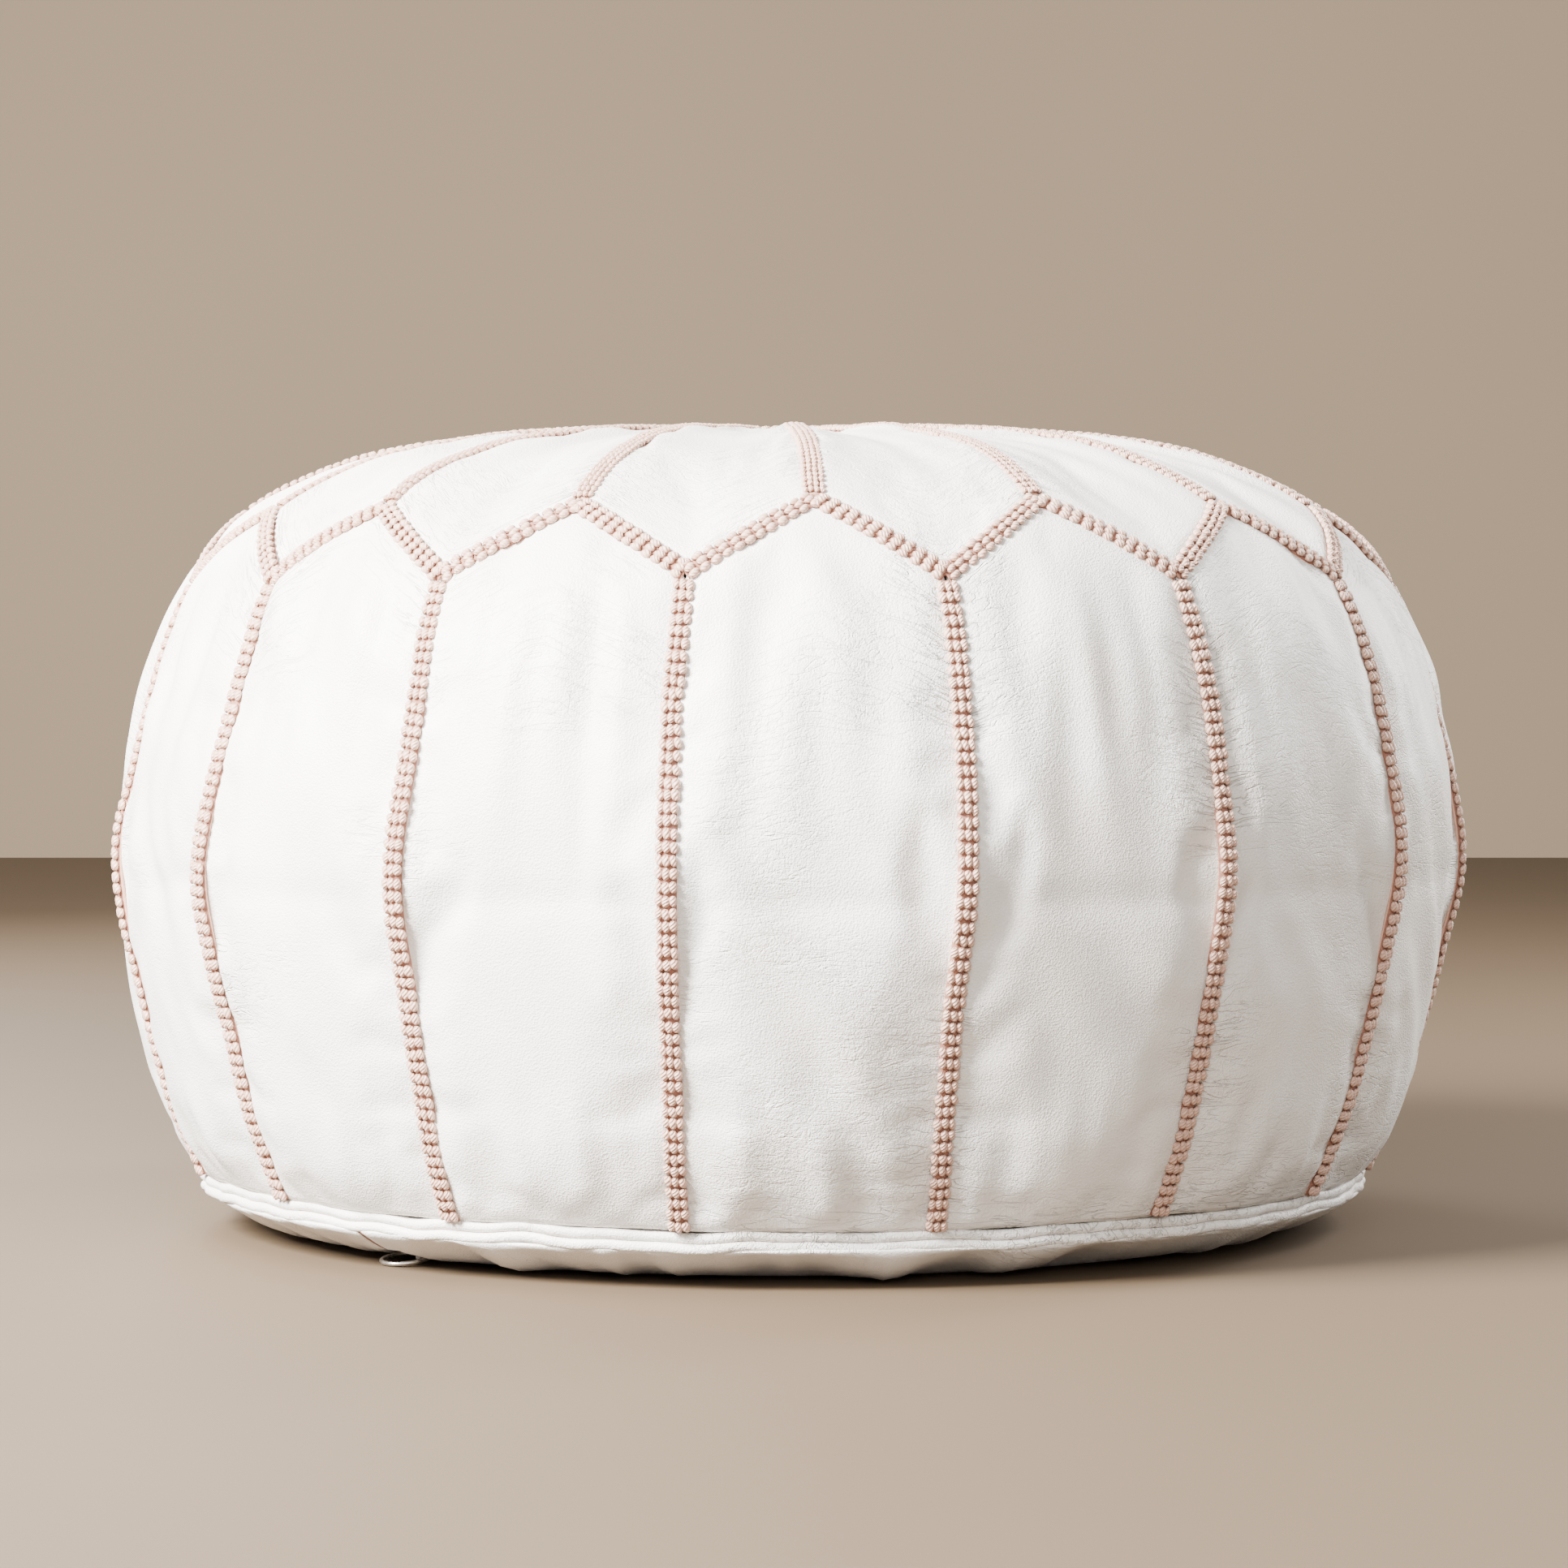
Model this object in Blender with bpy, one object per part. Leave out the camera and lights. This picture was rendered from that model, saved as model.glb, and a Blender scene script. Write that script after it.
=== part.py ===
"""Round stuffed leather pouf with embroidered seams and a zipped base.

Sixteen pointed side panels stand round the flank, and sixteen kite-shaped top panels run from the
notches between their points to a small round medallion. A broad embroidered braid covers every
seam. The base is two half discs of leather with a zip between them, whose slider runs along the
zip and carries a swinging pull ring.

Metres, +Z up. The origin is the middle of the underside, on the floor, and the front is -Y.
"""

import math

import bmesh
import bpy
import numpy as np
from mathutils import Matrix, Vector
from mathutils.geometry import interpolate_bezier

# ---------------------------------------------------------------- driving dimensions
PANELS = 16
CREASE_RADIUS = 0.2735  # the leather at its widest, at the fold round the flank
CREASE_HEIGHT = 0.1490
HEIGHT = 0.3270  # the leather at the middle of the top
LEATHER = 0.0013
TOUCH_GAP = 0.0003  # left between pieces that touch on the real object
PANEL_GAP = 0.0006  # between the edges of two panels, under their braid

# The flank's side view: how far inside the crease radius, and how high above the floor.
RIM_INSET, RIM_HEIGHT = 0.0335, 0.0220
FLANK_INSET, FLANK_HEIGHT = 0.0180, 0.0620
# The shoulder's and the top's: how far inside the crease radius, and how far under the top.
UPPER_INSET, UPPER_DROP = 0.0095, 0.1120
NOTCH_INSET, NOTCH_DROP = 0.0275, 0.0635
POINT_INSET, POINT_DROP = 0.0495, 0.0360
SHOULDER_INSET, SHOULDER_DROP = 0.0960, 0.0135
CROWN_INSET, CROWN_DROP = 0.1540, 0.0035
MEDALLION_RADIUS, MEDALLION_DROP = 0.0350, 0.0003

BRAID_WIDTH = 0.0085
BRAID_THICKNESS = 0.0022

# The rim's welt, where the edges of the side panels and the base are turned out and sewn.
WELT_DEPTH = 0.0048
WELT_GROOVE = 0.0016

# The base lies flat on the floor, and rises to the rim outside the contact radius.
BASE_INSET = 0.0025  # from the side panels' lower edge in to the base's edge
CONTACT_INSET = 0.0375  # from the base's edge in to the flat
BASE_RISE = 0.0135
STUFFING_OVER_SLIDER = 0.0010

# The zip is straight and level. Its leather lips stand off the floor, to give the slider room.
ZIP_END_INSET = 0.0235  # from the base's edge in to the end of the zip
LIP_TO_SLIDER = 0.0007
LIP_TO_RING = 0.0099  # from the ring's side to where the lip is down on the floor
TAPE_WIDTH = 0.0112
TAPE_THICKNESS = 0.0006
COIL_THICKNESS = 0.0024
COIL_END = 0.0030  # the bare tape past the end of the coils
POST_WIDTH = 0.0006

SLIDER_LENGTH = 0.0120
SLIDER_WALL = 0.0012
SLIDER_PLATE = 0.0008
SLIDER_PLAY = 0.0004  # round the coils and the tape
POST_LENGTH = 0.0040
BAIL_LENGTH = 0.0060
BAIL_WIDTH = 0.0022
BAIL_BAR = 0.0009
BAIL_LOW = 0.0012  # the bail's underside above the floor
SLIDER_TO_STOP = 0.0040  # from the closed slider's nose to the end of the zip

RING_RADIUS = 0.0092  # to the middle of the wire
RING_WIRE = 0.0018
RING_PLAY = 0.0003  # between the wire and the bail
RING_LIFT = 0.0002  # between the resting ring and the floor

# How finely the shape is cut into flat faces.
COLUMNS_PER_PANEL = 4
ROWS_PER_SPAN = (2, 3, 2, 2, 2, 2, 2, 2, 1)
LINE_STEPS = 24
WIRE_SIDES = 8
RING_SIDES = 24

# ---------------------------------------------------------------- derived sizes
PITCH = 2 * math.pi / PANELS
HALF_PITCH = PITCH / 2
COLUMN = PITCH / COLUMNS_PER_PANEL
FIRST_SEAM = math.radians(-99.0)  # the side seam just left of the front

RIM_RADIUS = CREASE_RADIUS - RIM_INSET
PROFILE = (
    (RIM_RADIUS, RIM_HEIGHT),
    (CREASE_RADIUS - FLANK_INSET, FLANK_HEIGHT),
    (CREASE_RADIUS, CREASE_HEIGHT),
    (CREASE_RADIUS - UPPER_INSET, HEIGHT - UPPER_DROP),
    (CREASE_RADIUS - NOTCH_INSET, HEIGHT - NOTCH_DROP),
    (CREASE_RADIUS - POINT_INSET, HEIGHT - POINT_DROP),
    (CREASE_RADIUS - SHOULDER_INSET, HEIGHT - SHOULDER_DROP),
    (CREASE_RADIUS - CROWN_INSET, HEIGHT - CROWN_DROP),
    (MEDALLION_RADIUS, HEIGHT - MEDALLION_DROP),
    (0.0, HEIGHT),
)
NOTCH_SPAN, POINT_SPAN, MEDALLION_SPAN = 4, 5, 8  # each knot's number along the profile

BASE_RADIUS = RIM_RADIUS - BASE_INSET
CONTACT_RADIUS = BASE_RADIUS - CONTACT_INSET

ZIP_FRAME = Matrix.Rotation(FIRST_SEAM - 1.5 * PITCH, 4, "Z")  # +X along the zip, to its closed end
ZIP_HALF_LENGTH = BASE_RADIUS - ZIP_END_INSET
COIL_INNER = POST_WIDTH / 2 + TOUCH_GAP
COIL_OUTER = COIL_INNER + COIL_THICKNESS
TAPE_INNER = COIL_OUTER + TOUCH_GAP
SLIDER_HALF_WIDTH = COIL_OUTER + SLIDER_PLAY + SLIDER_WALL
SLIDER_HALF_HEIGHT = COIL_THICKNESS / 2 + SLIDER_PLAY + SLIDER_PLATE
CLOSED_SLIDER = ZIP_HALF_LENGTH - SLIDER_TO_STOP - SLIDER_LENGTH / 2

# Upwards from the floor: the bail, the ring's wire in it, the slider, the zip and its lips.
BAIL_OPENING = RING_WIRE + 2 * RING_PLAY
SLIDER_BOTTOM = BAIL_LOW + BAIL_BAR + BAIL_OPENING
PIVOT_HEIGHT = SLIDER_BOTTOM - BAIL_OPENING / 2
CHAIN_HEIGHT = SLIDER_BOTTOM + SLIDER_HALF_HEIGHT
TAPE_LOW = CHAIN_HEIGHT - TAPE_THICKNESS / 2
TAPE_HIGH = CHAIN_HEIGHT + TAPE_THICKNESS / 2
LIP_HEIGHT = TAPE_LOW - TOUCH_GAP - LEATHER
LIP_HALF_GAP = SLIDER_HALF_WIDTH + LIP_TO_SLIDER
LIP_HALF_WIDTH = RING_RADIUS + RING_WIRE / 2 + LIP_TO_RING
RING_TILT = math.asin((PIVOT_HEIGHT - RING_WIRE / 2 - RING_LIFT) / (2 * RING_RADIUS))

WELT_INNER = BASE_RADIUS + TOUCH_GAP
WELT_TOP = RIM_HEIGHT - TOUCH_GAP
WELT_FOOT = BASE_RISE + LEATHER / 2
STUFFING_INSET = LEATHER + 2 * TOUCH_GAP
ZIP_ROOM_TOP = CHAIN_HEIGHT + SLIDER_HALF_HEIGHT + STUFFING_OVER_SLIDER


# ---------------------------------------------------------------- the cover's curved form
def smooth_line(knots):
    """Bezier spans through the knots of a side view, level where it ends on the axis."""
    points = [Vector((radius, height)) for radius, height in knots]
    before = 2 * points[0] - points[1]
    after = Vector((-points[-2].x, points[-2].y))
    padded = [before, *points, after]
    line = []
    for a, b, c, d in zip(padded, padded[1:], padded[2:], padded[3:]):
        third = (c - b).length / 3
        leave, arrive = (c - a).normalized() * third, (d - b).normalized() * third
        line += interpolate_bezier(b, b + leave, c - arrive, c, LINE_STEPS + 1)[:-1]
    return np.array([*(tuple(point)[:2] for point in line), knots[-1]])


LINE = smooth_line(PROFILE)
STEPS = np.linalg.norm(np.diff(LINE, axis=0), axis=1)
ALONG = np.concatenate([[0.0], np.cumsum(STEPS)])  # how far each point is from the rim
TANGENTS = np.gradient(LINE, ALONG, axis=0)
NORMALS = np.column_stack([TANGENTS[:, 1], -TANGENTS[:, 0]])
NORMALS /= np.linalg.norm(NORMALS, axis=1, keepdims=True)
KNOTS = ALONG[::LINE_STEPS]
NOTCH, POINT, MEDALLION = KNOTS[NOTCH_SPAN], KNOTS[POINT_SPAN], KNOTS[MEDALLION_SPAN]
ROWS = [
    start + (end - start) * i / count
    for start, end, count in zip(KNOTS, KNOTS[1:], ROWS_PER_SPAN)
    for i in range(count)
] + [KNOTS[-1]]
POINT_SLOPE = (POINT - NOTCH) / (HALF_PITCH * float(np.interp(NOTCH, ALONG, LINE[:, 0])))


def radius_at(along):
    return float(np.interp(along, ALONG, LINE[:, 0]))


def side_view(along, out):
    """The radius and height of a point out metres off the leather, along metres from the rim."""
    return [float(np.interp(along, ALONG, LINE[:, i] + out * NORMALS[:, i])) for i in (0, 1)]


def on_cover(azimuth, along, out):
    """A point on the flat faces between the form's rows and columns."""
    row = min(max(int(np.searchsorted(ROWS, along + 1e-7)) - 1, 0), len(ROWS) - 2)
    column = math.floor((azimuth - FIRST_SEAM) / COLUMN + 1e-6)
    across = (azimuth - FIRST_SEAM) / COLUMN - column
    up = (along - ROWS[row]) / (ROWS[row + 1] - ROWS[row])
    lower, upper = side_view(ROWS[row], out), side_view(ROWS[row + 1], out)
    radius, height = [a + (b - a) * up for a, b in zip(lower, upper)]
    corners = [FIRST_SEAM + (column + i) * COLUMN for i in (0, 1)]
    left, right = [Vector((math.cos(a), math.sin(a), 0)) * radius for a in corners]
    return left.lerp(right, across) + Vector((0, 0, height))


def stepped(start, end):
    """The along values from start up to end, with every row between them."""
    return [start, *[row for row in ROWS if start + 1e-4 < row < end - 1e-4], end]


def point_line(azimuth, offset):
    """The zigzag seam's along value, azimuth from a panel's middle, raised offset square to it."""
    share = 1 - abs(azimuth) / HALF_PITCH
    return NOTCH + (POINT - NOTCH) * share + offset * math.hypot(1, POINT_SLOPE)


# ---------------------------------------------------------------- making the objects
def material(name, colour, roughness, metallic=0.0):
    made = bpy.data.materials.new(name)
    made.use_nodes = True
    shader = made.node_tree.nodes["Principled BSDF"]
    shader.inputs["Base Color"].default_value = (*colour, 1.0)
    shader.inputs["Roughness"].default_value = roughness
    shader.inputs["Metallic"].default_value = metallic
    return made


def add_object(name, bm, finish, place=None):
    """A bmesh as a named object, its faces turned out."""
    bmesh.ops.recalc_face_normals(bm, faces=bm.faces)
    mesh = bpy.data.meshes.new(name)
    bm.to_mesh(mesh)
    bm.free()
    mesh.shade_smooth()
    mesh.set_sharp_from_angle(angle=math.radians(40))
    mesh.materials.append(finish)
    made = bpy.data.objects.new(name, mesh)
    made.matrix_world = place or Matrix.Identity(4)
    bpy.context.collection.objects.link(made)
    return made


def cut_lines(bm, normal, places):
    """Cuts the flat faces along straight lines square to normal."""
    normal = Vector(normal)
    for place in places:
        geometry = bm.verts[:] + bm.edges[:] + bm.faces[:]
        bmesh.ops.bisect_plane(bm, geom=geometry, dist=1e-6, plane_co=normal * place, plane_no=normal)


def add_bent_piece(name, outline, low, high, finish, copies=1):
    """A flat outline of (azimuth, along) points, bent onto the form between two heights off it."""
    bm = bmesh.new()
    bm.faces.new([bm.verts.new((azimuth, along, 0)) for azimuth, along in outline])
    azimuths = [azimuth for azimuth, _ in outline]
    first = math.floor((min(azimuths) - FIRST_SEAM) / COLUMN)
    last = math.ceil((max(azimuths) - FIRST_SEAM) / COLUMN)
    cut_lines(bm, (1, 0, 0), [FIRST_SEAM + i * COLUMN for i in range(first, last + 1)])
    cut_lines(bm, (0, 1, 0), ROWS)
    bmesh.ops.triangulate(bm, faces=bm.faces)
    pattern = bm.verts[:] + bm.edges[:] + bm.faces[:]
    for i in range(1, copies):
        copy = bmesh.ops.duplicate(bm, geom=pattern)["geom"]
        moved = [item for item in copy if isinstance(item, bmesh.types.BMVert)]
        bmesh.ops.translate(bm, verts=moved, vec=(i * PITCH, 0, 0))
    flat = bm.verts.layers.float_vector.new("flat")
    for vertex in bm.verts:
        vertex[flat] = vertex.co
        vertex.co = on_cover(vertex.co.x, vertex.co.y, low)
    bmesh.ops.remove_doubles(bm, verts=bm.verts, dist=1e-6)
    top = bmesh.ops.extrude_face_region(bm, geom=bm.faces[:])["geom"]
    for vertex in [item for item in top if isinstance(item, bmesh.types.BMVert)]:
        vertex.co = on_cover(vertex[flat].x, vertex[flat].y, high)
    return add_object(name, bm, finish)


def add_turned_piece(name, profile, sides, finish, closed=False):
    """A side view of (radius, height) points spun round the pouf's axis, from a seam."""
    bm = bmesh.new()
    first = Vector((math.cos(FIRST_SEAM), math.sin(FIRST_SEAM), 0))
    points = [bm.verts.new(first * radius + Vector((0, 0, height))) for radius, height in profile]
    pairs = zip(points, points[1:] + points[:1] if closed else points[1:])
    edges = [bm.edges.new(pair) for pair in pairs]
    turn = {"cent": (0, 0, 0), "axis": (0, 0, 1), "angle": 2 * math.pi, "steps": sides}
    bmesh.ops.spin(bm, geom=points + edges, use_merge=True, **turn)
    bmesh.ops.remove_doubles(bm, verts=bm.verts, dist=1e-6)
    return add_object(name, bm, finish)


def box(bm, low, high):
    """A box between two corners, added to a bmesh."""
    low, high = Vector(low), Vector(high)
    place = Matrix.Translation((low + high) / 2) @ Matrix.Diagonal((*(high - low), 1))
    bmesh.ops.create_cube(bm, size=1, matrix=place)


def add_box(name, low, high, finish, place):
    bm = bmesh.new()
    box(bm, low, high)
    return add_object(name, bm, finish, place)


def combine(target, tool, operation):
    """Joins a helper shape to an object, or cuts it away, by a Boolean that stays live."""
    tool.hide_render = True
    tool.display_type = "WIRE"
    modifier = target.modifiers.new(tool.name, "BOOLEAN")
    modifier.operation = operation
    modifier.solver = "EXACT"
    modifier.object = tool


# ---------------------------------------------------------------- the leather cover
def add_side_panels(leather):
    """Upright panels, each pointed at the top, from one side seam to the next."""
    gap = PANEL_GAP / 2 / RIM_RADIUS
    edge = HALF_PITCH - gap
    for i in range(PANELS):
        middle = FIRST_SEAM + (i + 0.5) * PITCH
        outline = [
            (middle - edge, 0.0),
            (middle + edge, 0.0),
            (middle + edge, point_line(edge, -PANEL_GAP / 2)),
            (middle, point_line(0, -PANEL_GAP / 2)),
            (middle - edge, point_line(edge, -PANEL_GAP / 2)),
        ]
        add_bent_piece(f"side_panel_{i + 1:02d}", outline, -LEATHER, 0.0, leather)


def add_top_panels(leather):
    """Kite-shaped panels, each from a notch between two points to the medallion."""
    widest = HALF_PITCH - PANEL_GAP / 2 / radius_at(POINT)
    corner = point_line(HALF_PITCH - widest, PANEL_GAP / 2)
    inner_end = MEDALLION - PANEL_GAP / 2
    for i in range(PANELS):
        middle = FIRST_SEAM + i * PITCH
        side = [(HALF_PITCH - PANEL_GAP / 2 / radius_at(along), along) for along in stepped(corner, inner_end)]
        outline = [(middle, point_line(HALF_PITCH, PANEL_GAP / 2))]
        outline += [(middle + azimuth, along) for azimuth, along in side]
        outline += [(middle - azimuth, along) for azimuth, along in reversed(side)]
        add_bent_piece(f"top_panel_{i + 1:02d}", outline, -LEATHER, 0.0, leather)


def add_medallion(leather):
    """The leather disc at the middle of the top, where the top panels meet."""
    top = HEIGHT - MEDALLION_DROP
    radius = MEDALLION_RADIUS - PANEL_GAP
    profile = [(0.0, top - LEATHER), (radius, top - LEATHER), (radius, top), (0.0, top)]
    add_turned_piece("top_medallion", profile, 2 * PANELS, leather)


def add_rim_welt(leather):
    """Two folded edges lying one above the other round the rim, with a groove between them."""
    middle = (WELT_TOP + WELT_FOOT) / 2
    half = (WELT_TOP - WELT_FOOT) / 2
    outer = WELT_INNER + WELT_DEPTH
    ridge = (outer + WELT_INNER) / 2
    upper = [
        (outer - WELT_GROOVE, 0.0),
        (outer, 0.35 * half),
        (outer, 0.7 * half),
        (ridge, half),
        (WELT_INNER, 0.7 * half),
    ]
    lower = [(radius, -height) for radius, height in reversed(upper[1:])]
    profile = [(radius, middle + height) for radius, height in lower + upper]
    add_turned_piece("rim_welt", profile, PANELS * COLUMNS_PER_PANEL, leather, closed=True)


# ---------------------------------------------------------------- the embroidery
def add_side_braids(thread):
    """A braid up each side seam, from the rim's welt to the notch."""
    top = point_line(HALF_PITCH, -BRAID_WIDTH / 2) - TOUCH_GAP
    for i in range(PANELS):
        seam = FIRST_SEAM + i * PITCH
        side = [(BRAID_WIDTH / 2 / radius_at(along), along) for along in stepped(TOUCH_GAP, top)]
        outline = [(seam + azimuth, along) for azimuth, along in side]
        outline += [(seam - azimuth, along) for azimuth, along in reversed(side)]
        low, high = TOUCH_GAP, TOUCH_GAP + BRAID_THICKNESS
        add_bent_piece(f"side_braid_{i + 1:02d}", outline, low, high, thread)


def add_crown_braid(thread):
    """The net of braids over the zigzag seam, the seams of the top panels and the medallion."""
    half = BRAID_WIDTH / 2
    inner_edge, outer_edge = MEDALLION + half, MEDALLION - half
    corner = point_line(half / radius_at(POINT), half)
    right = [(HALF_PITCH, point_line(HALF_PITCH, -half)), (HALF_PITCH, point_line(HALF_PITCH, half))]
    right += [(half / radius_at(along), along) for along in stepped(corner, outer_edge)]
    right += [(HALF_PITCH, outer_edge), (HALF_PITCH, inner_edge)]
    middle = FIRST_SEAM + HALF_PITCH
    outline = [(middle, point_line(0, -half))]
    outline += [(middle + azimuth, along) for azimuth, along in right]
    outline += [(middle - azimuth, along) for azimuth, along in reversed(right)]
    low, high = TOUCH_GAP, TOUCH_GAP + BRAID_THICKNESS
    add_bent_piece("crown_braid", outline, low, high, thread, copies=PANELS)


# ---------------------------------------------------------------- the base
def underside(point):
    """How high the base's leather stands over the floor, at a point in the zip's frame."""
    past_flat = max(0.0, math.hypot(point.x, point.y) - CONTACT_RADIUS) / CONTACT_INSET
    off_floor = (LIP_HALF_WIDTH - abs(point.y)) / (LIP_HALF_WIDTH - LIP_HALF_GAP)
    share = min(max(off_floor, 0.0), 1.0)
    return max(BASE_RISE * past_flat**2, LIP_HEIGHT * share * share * (3 - 2 * share))


def add_base_panels(leather):
    """Two half discs with the zip between them, their lips meeting past its ends."""
    lip_lines = np.linspace(LIP_HALF_GAP, LIP_HALF_WIDTH, 4)
    for name, side in (("base_panel_front", 1), ("base_panel_back", -1)):
        bm = bmesh.new()
        bmesh.ops.create_circle(bm, cap_ends=True, segments=PANELS * COLUMNS_PER_PANEL, radius=BASE_RADIUS)
        for _ in range(2):
            inner = [face for face in bm.faces if face.calc_center_median().length < TOUCH_GAP]
            ring = {"thickness": CONTACT_INSET / 2, "use_boundary": True, "use_even_offset": True}
            bmesh.ops.inset_region(bm, faces=inner, **ring)
        cut_lines(bm, (0, side, 0), [TOUCH_GAP, *lip_lines])
        cut_lines(bm, (1, 0, 0), [-ZIP_HALF_LENGTH, ZIP_HALF_LENGTH])
        for face in bm.faces[:]:
            centre = face.calc_center_median()
            across = centre.y * side
            over_zip = across < LIP_HALF_GAP and abs(centre.x) < ZIP_HALF_LENGTH
            if across < TOUCH_GAP or over_zip:
                bm.faces.remove(face)
        bmesh.ops.delete(bm, geom=[edge for edge in bm.edges if not edge.link_faces], context="EDGES")
        bmesh.ops.delete(bm, geom=[vertex for vertex in bm.verts if not vertex.link_faces], context="VERTS")
        bmesh.ops.triangulate(bm, faces=bm.faces)
        for vertex in bm.verts:
            vertex.co.z = underside(vertex.co)
        top = bmesh.ops.extrude_face_region(bm, geom=bm.faces[:])["geom"]
        raised = [item for item in top if isinstance(item, bmesh.types.BMVert)]
        bmesh.ops.translate(bm, verts=raised, vec=(0, 0, LEATHER))
        add_object(name, bm, leather, ZIP_FRAME)


def add_stuffing(filling):
    """The packed filling, just inside the leather, with a channel over the zip."""
    foot = [
        (CONTACT_RADIUS + CONTACT_INSET * share, BASE_RISE * share**2 + STUFFING_INSET)
        for share in (0.0, 0.5)
    ]
    outside = [side_view(along, -STUFFING_INSET) for along in ROWS[:-1]]
    profile = [(0.0, STUFFING_INSET), *foot, *outside, (0.0, HEIGHT - STUFFING_INSET)]
    stuffing = add_turned_piece("stuffing", profile, 2 * PANELS, filling)
    half_wide = LIP_HALF_WIDTH + TOUCH_GAP
    low, high = (-CREASE_RADIUS, -half_wide, -ZIP_ROOM_TOP), (CREASE_RADIUS, half_wide, ZIP_ROOM_TOP)
    combine(stuffing, add_box("zip_channel", low, high, filling, ZIP_FRAME), "DIFFERENCE")


# ---------------------------------------------------------------- the zip
def add_zip_chain(tape, coil):
    """The woven tapes, and the coil that is sewn to the inner edge of each."""
    for name, side in (("front", 1), ("back", -1)):
        edges = sorted([side * TAPE_INNER, side * (TAPE_INNER + TAPE_WIDTH)])
        low, high = (-ZIP_HALF_LENGTH, edges[0], TAPE_LOW), (ZIP_HALF_LENGTH, edges[1], TAPE_HIGH)
        add_box(f"zip_tape_{name}", low, high, tape, ZIP_FRAME)
        bm = bmesh.new()
        radius = COIL_THICKNESS / 2 / math.cos(math.pi / WIRE_SIDES)
        length = 2 * (ZIP_HALF_LENGTH - COIL_END)
        middle = Matrix.Translation((0, side * (COIL_INNER + COIL_THICKNESS / 2), CHAIN_HEIGHT))
        turned = Matrix.Rotation(math.pi / 2, 4, "Y") @ Matrix.Rotation(math.pi / WIRE_SIDES, 4, "Z")
        size = {"segments": WIRE_SIDES, "radius1": radius, "radius2": radius, "depth": length}
        bmesh.ops.create_cone(bm, cap_ends=True, matrix=middle @ turned, **size)
        add_object(f"zip_coil_{name}", bm, coil, ZIP_FRAME)


def slider_channel(upward):
    """One plate of the slider, with the two walls that keep the coils in, in (across, up) points."""
    wall, half = SLIDER_WALL, SLIDER_HALF_WIDTH
    slot = TAPE_THICKNESS / 2 + SLIDER_PLAY
    inside = SLIDER_HALF_HEIGHT - SLIDER_PLATE
    right = [(half, SLIDER_HALF_HEIGHT), (half, slot), (half - wall, slot), (half - wall, inside)]
    outline = right + [(-across, up) for across, up in reversed(right)]
    return [(across, CHAIN_HEIGHT + upward * up) for across, up in outline]


def add_slider(metal):
    """Two channels held apart by a post between the coils, with the ring's bail underneath."""
    place = ZIP_FRAME @ Matrix.Translation((CLOSED_SLIDER, 0, 0))
    shells = []
    for name, upward in (("zip_slider", -1), ("slider_upper_channel", 1)):
        bm = bmesh.new()
        points = [(-SLIDER_LENGTH / 2, across, up) for across, up in slider_channel(upward)]
        face = bm.faces.new([bm.verts.new(point) for point in points])
        end = bmesh.ops.extrude_face_region(bm, geom=[face])["geom"]
        moved = [item for item in end if isinstance(item, bmesh.types.BMVert)]
        bmesh.ops.translate(bm, verts=moved, vec=(SLIDER_LENGTH, 0, 0))
        shells.append(add_object(name, bm, metal, place))
    slider, upper = shells
    sunk = SLIDER_PLATE / 2  # how far a joined piece reaches into the plate it stands on
    reach = SLIDER_HALF_HEIGHT - SLIDER_PLATE + sunk
    low = (-SLIDER_LENGTH / 2 + SLIDER_PLATE, -POST_WIDTH / 2, CHAIN_HEIGHT - reach)
    high = (low[0] + POST_LENGTH, POST_WIDTH / 2, CHAIN_HEIGHT + reach)
    post = add_box("slider_post", low, high, metal, place)
    half_long, half_wide = BAIL_LENGTH / 2, BAIL_WIDTH / 2
    bail = add_box(
        "slider_bail",
        (-half_long, -half_wide, BAIL_LOW),
        (half_long, half_wide, SLIDER_BOTTOM + sunk),
        metal,
        place,
    )
    opening = add_box(
        "slider_bail_opening",
        (BAIL_BAR - half_long, -BAIL_WIDTH, BAIL_LOW + BAIL_BAR),
        (half_long - BAIL_BAR, BAIL_WIDTH, SLIDER_BOTTOM + SLIDER_PLATE),
        metal,
        place,
    )
    combine(bail, opening, "DIFFERENCE")
    for tool in (post, upper, bail):
        combine(slider, tool, "UNION")


def add_pull_ring(metal):
    """A wire ring through the bail, lying on the floor, its origin on the hinge's axis."""
    bm = bmesh.new()
    wire = bmesh.ops.create_circle(
        bm,
        segments=WIRE_SIDES,
        radius=RING_WIRE / 2,
        matrix=Matrix.Rotation(math.pi / 2, 4, "X"),
    )
    section = [edge for edge in bm.edges] + wire["verts"]
    turn = {"cent": (RING_RADIUS, 0, 0), "axis": (0, 0, 1), "angle": 2 * math.pi, "steps": RING_SIDES}
    bmesh.ops.spin(bm, geom=section, use_merge=True, **turn)
    bmesh.ops.remove_doubles(bm, verts=bm.verts, dist=1e-6)
    pivot = Matrix.Translation((CLOSED_SLIDER, 0, PIVOT_HEIGHT))
    add_object("zip_pull_ring", bm, metal, ZIP_FRAME @ pivot @ Matrix.Rotation(RING_TILT, 4, "Y"))


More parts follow.
